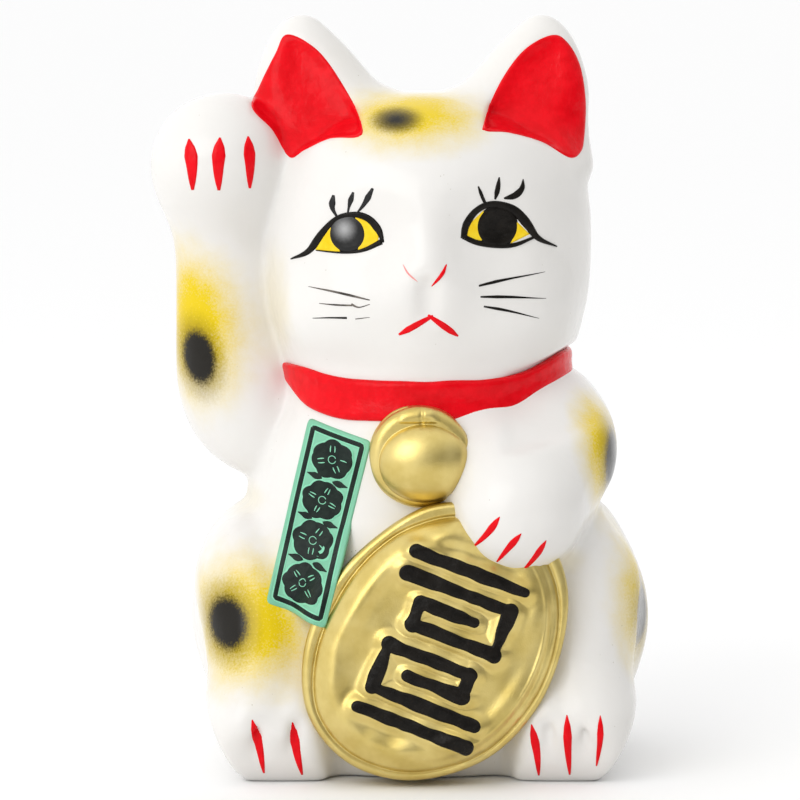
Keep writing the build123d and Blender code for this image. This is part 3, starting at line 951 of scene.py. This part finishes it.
def collar_piece():
    """A red band in low relief, right round the neck."""
    around = np.linspace(-np.pi, np.pi, 361)[:-1]
    across = np.linspace(-1, 1, 33)
    half_height = 4.9 - 1.3 * smooth((around - 0.4) / 0.4) - 2.6 * smooth((-around - 0.85) / 0.5)
    half_height += 1.4 * smooth((-around - 1.6) / 0.6) - 0.1 * smooth((around - 1.6) / 1.5)
    half_height += 0.18 * np.sin(7 * around + 1.0) * np.cos(3 * around)
    level = collar_level(around)[:, None] + half_height[:, None] * across
    level = level - 0.4 * hump(around, 0, 0.12)[:, None]
    angle = np.broadcast_to(around[:, None], level.shape)
    points, away = round_neck(np.stack([angle, level], -1))
    bead = COLLAR_THICK * np.clip(1 - np.abs(across) ** 4, 0, 1) ** 0.5
    front = points + away * bead[:, None]
    back = points - away * COLLAR_SUNK
    ring = np.concatenate([front, back[:, ::-1]], axis=1).transpose(1, 0, 2)
    rows, columns = ring.shape[:2]
    faces = grid_faces(rows, columns, wrap=True)
    last = (rows - 1) * columns
    faces += [(last + j, last + (j + 1) % columns, (j + 1) % columns, j) for j in range(columns)]
    piece = make_object("collar_band", ring.reshape(-1, 3), faces, RED)
    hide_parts("collar")


# ---- bell
BELL_CENTRE, BELL_RADIUS = (-0.2, 77.3), 12.0
BELL_DOME, DOME_RADII = (0.9, 75.9), (10.7, 9.2)
BELL_RIM, BELL_FRONT, BELL_BACK = -42.0, -47.6, -30.0
BELL_EDGE = 2.6                 # roundness of the rim


def bell_front(x, z):
    """Level (Y) of the bell's face: a pillowed disc with an off-centre boss and a stub of its loop."""
    from_edge = BELL_RADIUS - np.hypot(x - BELL_CENTRE[0], z - BELL_CENTRE[1])
    disc = BELL_RIM + BELL_EDGE * (1 - rounded(from_edge, BELL_EDGE))
    out = np.hypot((x - BELL_DOME[0]) / DOME_RADII[0], (z - BELL_DOME[1]) / DOME_RADII[1])
    boss = (BELL_FRONT - BELL_RIM) * np.clip(1 - out**2, 0, 1) ** 0.65
    step = -0.5 * smooth((z - 85.2) / 0.7) * smooth((5.5 - np.abs(x + 0.8)) / 2.0)
    loop = hump(x, 1.6, 1.5, 4) * hump(z, 88.2, 1.7, 4)
    notch = 0.5 * hump(x, 0.2, 0.35) * np.clip((z - 84.0) / 2.0, 0, 1)
    return disc + boss + step - 0.5 * loop + notch


def bell_piece():
    rings, around = 80, 200
    turn = full_turn(around)
    edge = BELL_RADIUS * (1 + 0.010 * np.sin(3 * turn + 1) + 0.006 * np.sin(7 * turn))
    share = np.sin(np.linspace(0.02, 1, rings) * np.pi / 2)
    x = BELL_CENTRE[0] + share[:, None] * edge * np.cos(turn)
    z = BELL_CENTRE[1] + share[:, None] * edge * np.sin(turn)
    front = np.stack([x, bell_front(x, z), z], -1)
    back = np.stack([x, np.full_like(x, BELL_BACK), z], -1)
    piece = make_object("bell_boss", *disc_solid(front, back), GOLD)
    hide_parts("bell")


# ---- coin
# Coin points are (u, v) on its leaning front plane, from its centre: u to the cat's left, v up.
COIN_CENTRE, COIN_LEAN = np.array((3.2, -47.0, 34.8)), math.radians(6.0)
COIN_U = np.array((1.0, 0.0, 0.0))
COIN_V = np.array((0.0, math.sin(COIN_LEAN), math.cos(COIN_LEAN)))
COIN_OUT = np.array((0.0, -math.cos(COIN_LEAN), math.sin(COIN_LEAN)))
COIN_DEPTH = 14.0
FIELD_STEP, SHOULDER, WELT = 3.6, 1.5, 1.3  # how far the face, its edge and the strokes are raised
INK_THICK = 0.32                # of the brushwork over the raised strokes
COIN_OUTLINE = [
    (-1.0, 31.6), (-14.5, 23.6), (-25.0, 12.0), (-30.8, -3.0), (-29.6, -18.0), (-20.0, -29.2), (-5.0, -33.1),
    (12.0, -28.2), (23.8, -16.6), (30.0, -2.0), (31.2, 13.0), (25.5, 25.0), (13.0, 31.5),
]
FIELD_OUTLINE = [
    (-3.5, 27.0), (-13.0, 21.5), (-21.5, 11.5), (-27.6, -3.0), (-27.4, -17.0), (-18.8, -27.2), (-4.6, -31.0),
    (11.2, -26.6), (22.4, -15.6), (28.2, -2.0), (28.6, 12.0), (22.5, 23.0), (8.0, 28.6),
]
MOTIF_CENTRE, MOTIF_TILT = (1.5, -2.0), math.radians(-21.0)
MOTIF_HALF_WIDTH, MOTIF_TOP, MOTIF_PITCH = 13.6, 19.4, 5.4
BAR = 3.5


def fret(top, turn):
    """One squared spiral of three rows below a long bar; a turn of -1 is it upside down."""
    wide, pitch = MOTIF_HALF_WIDTH * turn, MOTIF_PITCH * turn
    outer, inner = wide * 0.88, wide * 0.62
    first, second, third = top - pitch, top - 2 * pitch, top - 3 * pitch
    spiral = [(-wide, first), (outer, first), (outer, third), (-inner, third), (-inner, second),
              (inner * 0.6, second)]
    return [[(-wide, top), (wide, top)], spiral]


def fret_lines():
    """Every straight stroke of the ornament, as its two ends."""
    across, up = math.cos(MOTIF_TILT), math.sin(MOTIF_TILT)
    turned = np.array([[across, up], [-up, across]])
    for path in fret(MOTIF_TOP, 1) + fret(-MOTIF_TOP, -1):
        for start, end in zip(path, path[1:]):
            yield np.array(start) @ turned + MOTIF_CENTRE, np.array(end) @ turned + MOTIF_CENTRE


def fret_clearance(u, v):
    """Distance to the nearest stroke's edge; a stroke is pressed on at its start and thins to its end."""
    nearest = np.full(np.broadcast(u, v).shape, FAR)
    for start, end in fret_lines():
        along, away = from_segment(u, v, start, end)
        half = BAR / 2 * (1.12 - 0.34 * along + 0.10 * np.cos(6.0 * along + start[0]))
        nearest = np.minimum(nearest, away - half)
    return nearest


def outline_radius(outline, turn):
    """Distance from the centre to a closed outline in each direction."""
    line = curve(outline, True, steps=24)
    angle = np.arctan2(line[:, 1], line[:, 0])
    order = np.argsort(angle)
    return np.interp(turn, angle[order], np.hypot(*line.T)[order], period=2 * np.pi)


def coin_height(u, v):
    """How far the coin's face stands out from its flange plane."""
    turn, out = np.arctan2(v, u), np.hypot(u, v)
    rim = outline_radius(COIN_OUTLINE, turn) - out
    edge = outline_radius(FIELD_OUTLINE, turn) - out
    flange = 1.6 * (rounded(rim, 1.6) - 1)
    rise = rounded(edge, 4.5)
    shoulder = SHOULDER * hump(edge, 5.0, 3.0) * (0.75 - 0.25 * np.cos(turn))
    crease = -0.4 * hump(edge, -0.1, 0.5)
    ridge = 0.45 * np.clip(np.cos(turn + 0.2), 0, 1) * (hump(edge, 3.0, 0.6) - hump(edge, 1.8, 0.6))
    welt = WELT / (1 + np.exp((fret_clearance(u, v) - 0.9) / 0.5))
    pillow = -0.0026 * u**2 - 0.0012 * v**2
    wave = 0.22 * np.sin(0.33 * u + 1.0) * np.sin(0.29 * v) + 0.12 * np.sin(0.7 * u - 0.5 * v)
    return flange + FIELD_STEP * rise + shoulder + crease + ridge + welt + (wave + pillow) * rise


def coin_point(u, v, height):
    return COIN_CENTRE + u[..., None] * COIN_U + v[..., None] * COIN_V + height[..., None] * COIN_OUT


def coin_piece():
    rings, around = ((130, 300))
    turn = full_turn(around)
    share = np.linspace(0.004, 1, rings) ** 0.85
    reach = share[:, None] * outline_radius(COIN_OUTLINE, turn)
    u, v = reach * np.cos(turn), reach * np.sin(turn)
    front = coin_point(u, v, coin_height(u, v))
    back = coin_point(u, v, np.full_like(u, -COIN_DEPTH))
    piece = make_object("coin", *disc_solid(front, back), GOLD)
    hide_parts("koban")


def motif_piece():
    """Black brushwork over the raised strokes, with an uneven edge, from a small field of its own."""
    cell = 0.24
    half_u, half_v = 24.0, 27.0
    u = np.arange(-half_u, half_u, cell)[:, None, None]
    v = np.arange(-half_v, half_v, cell)[None, :, None]
    level = np.arange(0.0, FIELD_STEP + 3.2, cell)[None, None, :]
    ragged = 0.16 * np.sin(0.6 * u + 1.6 * np.sin(0.43 * v)) * np.sin(0.5 * v + 2.0 * np.sin(0.37 * u))
    across = fret_clearance(u, v) - ragged
    top = coin_height(u, v) + INK_THICK
    upward = np.abs(level - top + 0.7) - 0.7
    field = soft_max(across, upward, 0.7)
    grid = openvdb.FloatGrid(1.0)
    grid.copyFromArray(np.ascontiguousarray(field, np.float32))
    grid.transform = openvdb.createLinearTransform(cell)
    made, triangles, quads = grid.convertToPolygons(isovalue=0, adaptivity=0.0)
    points = coin_point(made[:, 0] - half_u, made[:, 1] - half_v, made[:, 2])
    piece = make_object("coin_brushwork", points, quads.tolist() + triangles.tolist(), BLACK)
    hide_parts("koban_motif")


# ---- label
LABEL_CORNERS = [(-26.6, 84.9), (-11.6, 80.4), (-22.4, 37.4), (-36.6, 42.3)]
LABEL_THICK = 0.3


def on_label(flat):
    """Points and normals of the label's back: it follows the chest and rides up over the coin's rim."""
    def surface(spots):
        y = on_body(spots)[0][..., 1]
        u, v = spots[..., 0] - COIN_CENTRE[0], (spots[..., 1] - COIN_CENTRE[2]) / math.cos(COIN_LEAN)
        rim = outline_radius(COIN_OUTLINE, np.arctan2(v, u)) - np.hypot(u, v)
        over = smooth((rim + 6.0) / 6.5)
        coin_y = COIN_CENTRE[1] + v * math.sin(COIN_LEAN) - 0.15
        return y * (1 - over) + np.minimum(coin_y, y) * over
    step = 0.8
    y = surface(flat)
    dx = (surface(flat + (step, 0)) - surface(flat - (step, 0))) / (2 * step)
    dz = (surface(flat + (0, step)) - surface(flat - (0, step))) / (2 * step)
    normals = np.stack([dx, np.full_like(y, -1.0), dz], -1)
    normals /= np.linalg.norm(normals, axis=-1, keepdims=True)
    return np.stack([flat[..., 0], y, flat[..., 1]], -1), normals


def on_label_face(flat):
    points, normals = on_label(flat)
    return points + normals * LABEL_THICK, normals


def label_spot(across, down):
    """A place on the label from shares of its width and length."""
    corners = np.array(LABEL_CORNERS)
    top = corners[0] + across * (corners[1] - corners[0])
    bottom = corners[3] + across * (corners[2] - corners[3])
    return top + down * (bottom - top)


def label_rectangle(inset, radius, steps=6):
    """A closed outline inside the label's edge, with rounded corners."""
    corners = np.array(LABEL_CORNERS)
    sides = np.roll(corners, -1, axis=0) - corners
    lengths = np.hypot(*sides.T)
    sides = sides / lengths[:, None]
    corners = corners + inset * (sides - np.roll(sides, 1, axis=0))
    line = []
    for i, corner in enumerate(corners):
        ahead, behind = sides[i], -sides[i - 1]
        line += [corner + radius * ((1 - t) ** 2 * behind + t**2 * ahead) for t in np.linspace(0, 1, steps)]
        start, end = corner + radius * ahead, corners[(i + 1) % 4] - radius * ahead
        line += [start + t * (end - start) for t in np.linspace(0, 1, int(lengths[i] / 0.8))[1:-1]]
    return np.array(line)


def label_piece():
    outline = label_rectangle(0.0, 1.3)
    piece = patch("label_sticker", outline, LABEL, on_label, LABEL_THICK, 0.25, rings=22)
    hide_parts("label")
    frame_line = label_rectangle(1.75, 0.5)
    frame_line = np.concatenate([frame_line, frame_line[:3]])
    stroke("label_border_edge", frame_line, (1.8, 1.8), MINT, on_label_face, 0.03)
    stroke("label_border", frame_line, (1.25, 1.25), PRINT, on_label_face, 0.08)
    label_ornament()


def label_ornament():
    """A column of four blossoms with veined petals and leaves between them: an ornament, not writing."""
    turn = full_turn(96)
    flowers = ((0.165, 7), (0.39, 8), (0.61, 7), (0.835, 8))
    for number, (down, petals) in enumerate(flowers, 1):
        centre = label_spot(0.5, down)
        reach = 1 + 0.09 * np.abs(np.cos(petals * turn / 2 + number)) + 0.03 * np.sin(5 * turn)
        outline = centre + oval(turn, 4.7 * reach, 4.35 * reach)
        halo = centre + (outline - centre) * 1.08
        patch(f"label_flower_edge_{number}", halo, MINT, on_label_face, 0.04, 0.1, rings=6)
        patch(f"label_flower_{number}", outline, PRINT, on_label_face, 0.09, 0.3, rings=9)
        for petal in range(petals):
            angle = 2 * np.pi * (petal + 0.5) / petals - 2 * number / petals
            radius = np.linspace(1.5, 4.2, 8)
            bend = angle + 0.09 * radius * (1 if petal % 2 else -1)
            vein, widths = centre + radius[:, None] * oval(bend, 1, 0.92), (0.2, 0.36, 0.3, 0.15)
            stroke(f"label_vein_{number}_{petal + 1}", vein, widths, MINT, on_label_face, 0.13, steps=8)
        ring = centre + 0.9 * oval(turn[::4], 1, 1)
        ring = np.concatenate([ring, ring[:1]])
        stroke(f"label_eye_{number}", ring, (0.3, 0.3), MINT, on_label_face, 0.13, steps=20)
    leaves = [(down, across) for down in (0.278, 0.5, 0.722) for across in (0.24, 0.76)]
    marks = []
    for down, across in leaves:
        tip, stem = label_spot(across, down), label_spot(0.5, down)
        line = [stem + 0.3 * (tip - stem), tip, tip + 0.25 * (tip - stem)]
        marks.append((line, (0.3, 1.5, 1.7, 0.8, 0.2), PRINT))
    strokes("label_leaf", marks, place=on_label_face, height=0.09)


# ---- putting it together
body_piece()
paint_red()
paint_eyes()
paint_whiskers()
collar_piece()
bell_piece()
coin_piece()
motif_piece()
label_piece()
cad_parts["stopper"].data.materials.clear()
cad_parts["stopper"].data.materials.append(soft_plastic())


# ---- floor, light and camera
def aim(thing, place, target):
    """Puts a lamp or camera at a place, in metres, and turns it to face the target."""
    thing.location = place
    thing.rotation_euler = (target - place).to_track_quat("-Z", "Y").to_euler()


def stage():
    """Pale floor, white surroundings, a large key light from the upper left and a weak fill."""
    mesh = bpy.data.meshes.new("floor")
    corners = [(x, y, 0) for x, y in ((-20, -20), (20, -20), (20, 20), (-20, 20))]
    mesh.from_pydata(corners, [], [(0, 1, 2, 3)])
    floor = new_object("floor", mesh)
    material, tree, shader = new_material("floor")
    set_inputs(tree, shader, {"Base Color": (0.92, 0.92, 0.92, 1), "Roughness": 0.8})
    mesh.materials.append(material)
    surroundings()
    for name, place, size, power in (
        ("key", (-0.68, -0.97, 0.78), 0.9, 5.6),
        ("fill", (0.95, -0.8, 0.35), 0.3, 0.15),
    ):
        light = bpy.data.lights.new(name, "AREA")
        light.size, light.energy = size, power
        aim(new_object(name, light), Vector(place), Vector((0, 0, 0.09)))
    bpy.context.scene.view_settings.view_transform = "Standard"


def surroundings():
    """White above and behind on the upper left, nearly dark low down in front on the other side."""
    world = bpy.data.worlds.new("world")
    bpy.context.scene.world = world
    world.use_nodes = True
    tree = world.node_tree
    direction = add_node(tree, "TexCoord").outputs["Generated"]
    facing = add_node(tree, "VectorMath", {0: direction, 1: (-0.55, 0.40, 0.72)}, operation="DOT_PRODUCT")
    share = ramp(tree, facing.outputs["Value"], -0.75, 0.35)
    tone = blend_colour(tree, share, (0.06, 0.06, 0.06), (1.14, 1.14, 1.14))
    set_inputs(tree, tree.nodes["Background"], {0: tone, 1: 1.0})


def camera():
    """Straight in front and a little above, far off with a long lens."""
    lens = bpy.data.cameras.new("camera")
    lens.lens, lens.sensor_width = 203, 36
    view = new_object("camera", lens)
    target = Vector((-0.0049, 0, 0.0865))
    tilt, distance = math.radians(6.0), 1.1
    aim(view, target + distance * Vector((0, -math.cos(tilt), math.sin(tilt))), target)
    bpy.context.scene.camera = view


stage()
camera()
